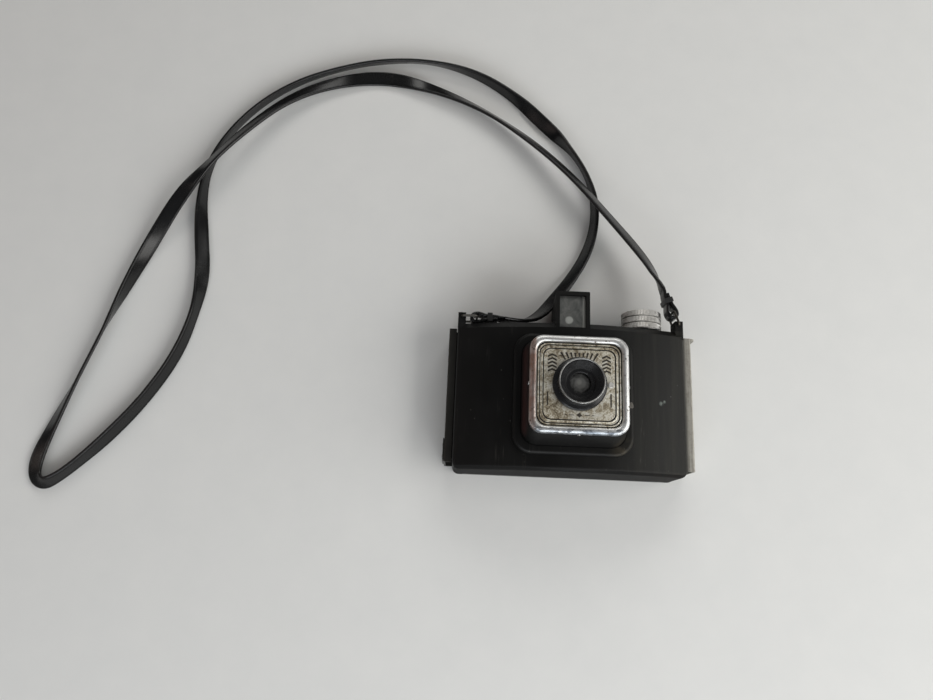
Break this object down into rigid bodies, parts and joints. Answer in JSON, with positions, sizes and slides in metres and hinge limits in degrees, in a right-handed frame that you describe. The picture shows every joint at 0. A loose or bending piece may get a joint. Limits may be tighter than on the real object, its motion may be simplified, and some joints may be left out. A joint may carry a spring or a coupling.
{
  "type": "viewfinder camera",
  "caption": "Bakelite roll-film viewfinder camera with a stepped square lens box, sliding metal back, winding knob, fixed lens barrel and a long flat neck strap.",
  "frame": {"origin": "on the optical axis, in the plane of the rear cover's outer face, which the camera lies on", "axes": "+Z out of the lens along the optical axis, +Y towards the viewfinder and knob, +X towards the winding knob's side of the body"},
  "size_m": [0.3121, 0.2408, 0.0587],
  "materials": {
    "moulded_body": "black phenolic moulding, satin with wear",
    "lens_mount": "black enamel, semi-gloss",
    "face_metal": "pressed plate, worn and mottled",
    "bezel_chrome": "worn plating",
    "rim_metal": "polished edge",
    "knob_metal": "turned and knurled, worn",
    "steel": "plain bright steel",
    "cover_sheet": "black enamel on sheet steel, worn to metal",
    "brass_fittings": "turned, dull",
    "black_metal": "dead black",
    "optical_glass": "clear polished glass",
    "red_window": "red film-number window",
    "strap_vinyl": "flat black vinyl, glossy, edge-stitched"
  },
  "bodies": {
    "camera_body": {"front_shell": "moulded_body", "lens_box": "moulded_body", "lens_box_screws": "steel", "face_plate": "face_metal", "bezel_frame": "bezel_chrome", "bezel_screws": "bezel_chrome", "lens_barrel": "lens_mount", "barrel_rim": "rim_metal", "lens_glass": "optical_glass", "lens_retaining_ring": "lens_mount", "aperture_disc": "black_metal", "shutter_plate": "steel", "shutter_plate_screws": "steel", "sector_pivot": "steel", "lever_pivot": "steel", "shutter_spring": "steel", "viewfinder_housing": "moulded_body", "finder_front_glass": "optical_glass", "finder_eyepiece_glass": "optical_glass", "finder_eyepiece_ring": "brass_fittings", "finder_screws": "steel", "film_gate": "cover_sheet", "film_gate_screws": "steel", "spool_pivots": "steel", "knob_bush": "brass_fittings", "clutch_spring": "steel", "strap_end_left": "strap_vinyl", "strap_end_right": "strap_vinyl", "strap_crimps": "steel", "strap": "strap_vinyl"},
    "rear_cover": {"rear_cover": "cover_sheet", "red_windows": "red_window", "window_retainers": "cover_sheet", "cover_catch": "cover_sheet", "catch_rivets": "steel"},
    "winding_knob": {"winding_knob": "knob_metal", "winding_shaft": "steel", "knob_screw": "steel"},
    "take_up_spool": {"spool_core": "black_metal", "spool_flanges": "black_metal"},
    "roller_left": {"film_roller_left": "steel"},
    "roller_right": {"film_roller_right": "steel"},
    "release_lever": {"release_lever": "steel"},
    "shutter_sector": {"shutter_sector": "black_metal"},
    "mode_lever": {"mode_lever": "knob_metal"},
    "link_left": {"strap_link_left": "steel"},
    "link_right": {"strap_link_right": "steel"}
  },
  "joints": [
    {"name": "cover_slide", "type": "slide", "parent": "camera_body", "child": "rear_cover", "axis": [0, -1, 0], "range_m": [0, 0.07]},
    {"name": "knob_turn", "type": "hinge", "parent": "camera_body", "child": "winding_knob", "pos_m": [0.036, 0, 0.013], "axis": [0, 1, 0], "continuous": true},
    {"name": "spool_turn", "type": "hinge", "parent": "camera_body", "child": "take_up_spool", "pos_m": [0.036, 0, 0.013], "axis": [0, 1, 0], "continuous": true},
    {"name": "roller_left_turn", "type": "hinge", "parent": "camera_body", "child": "roller_left", "pos_m": [-0.0218, 0, 0.004], "axis": [0, 1, 0], "continuous": true},
    {"name": "roller_right_turn", "type": "hinge", "parent": "camera_body", "child": "roller_right", "pos_m": [0.0218, 0, 0.004], "axis": [0, 1, 0], "continuous": true},
    {"name": "release_press", "type": "hinge", "parent": "camera_body", "child": "release_lever", "pos_m": [0.0085, -0.0105, 0.043], "axis": [0, 0, 1], "range_deg": [-14, 0], "stiffness_Nm_per_rad": 0.02},
    {"name": "sector_turn", "type": "hinge", "parent": "camera_body", "child": "shutter_sector", "pos_m": [-0.008, 0.007, 0.0441], "axis": [0, 0, 1], "range_deg": [0, 42]},
    {"name": "mode_swing", "type": "hinge", "parent": "camera_body", "child": "mode_lever", "pos_m": [0, 0, 0.051], "axis": [0, 0, 1], "range_deg": [-28, 0]},
    {"name": "link_left_swing", "type": "hinge", "parent": "camera_body", "child": "link_left", "pos_m": [-0.0512, 0.0366, 0.0205], "axis": [0, 0, 1], "range_deg": [-6, 6]},
    {"name": "link_right_swing", "type": "hinge", "parent": "camera_body", "child": "link_right", "pos_m": [0.0512, 0.0366, 0.0205], "axis": [0, 0, 1], "range_deg": [-6, 6]}
  ],
  "couplings": [
    {"joint": "spool_turn", "follows": "knob_turn", "ratio": 1},
    {"joint": "sector_turn", "follows": "release_press", "ratio": -3}
  ]
}
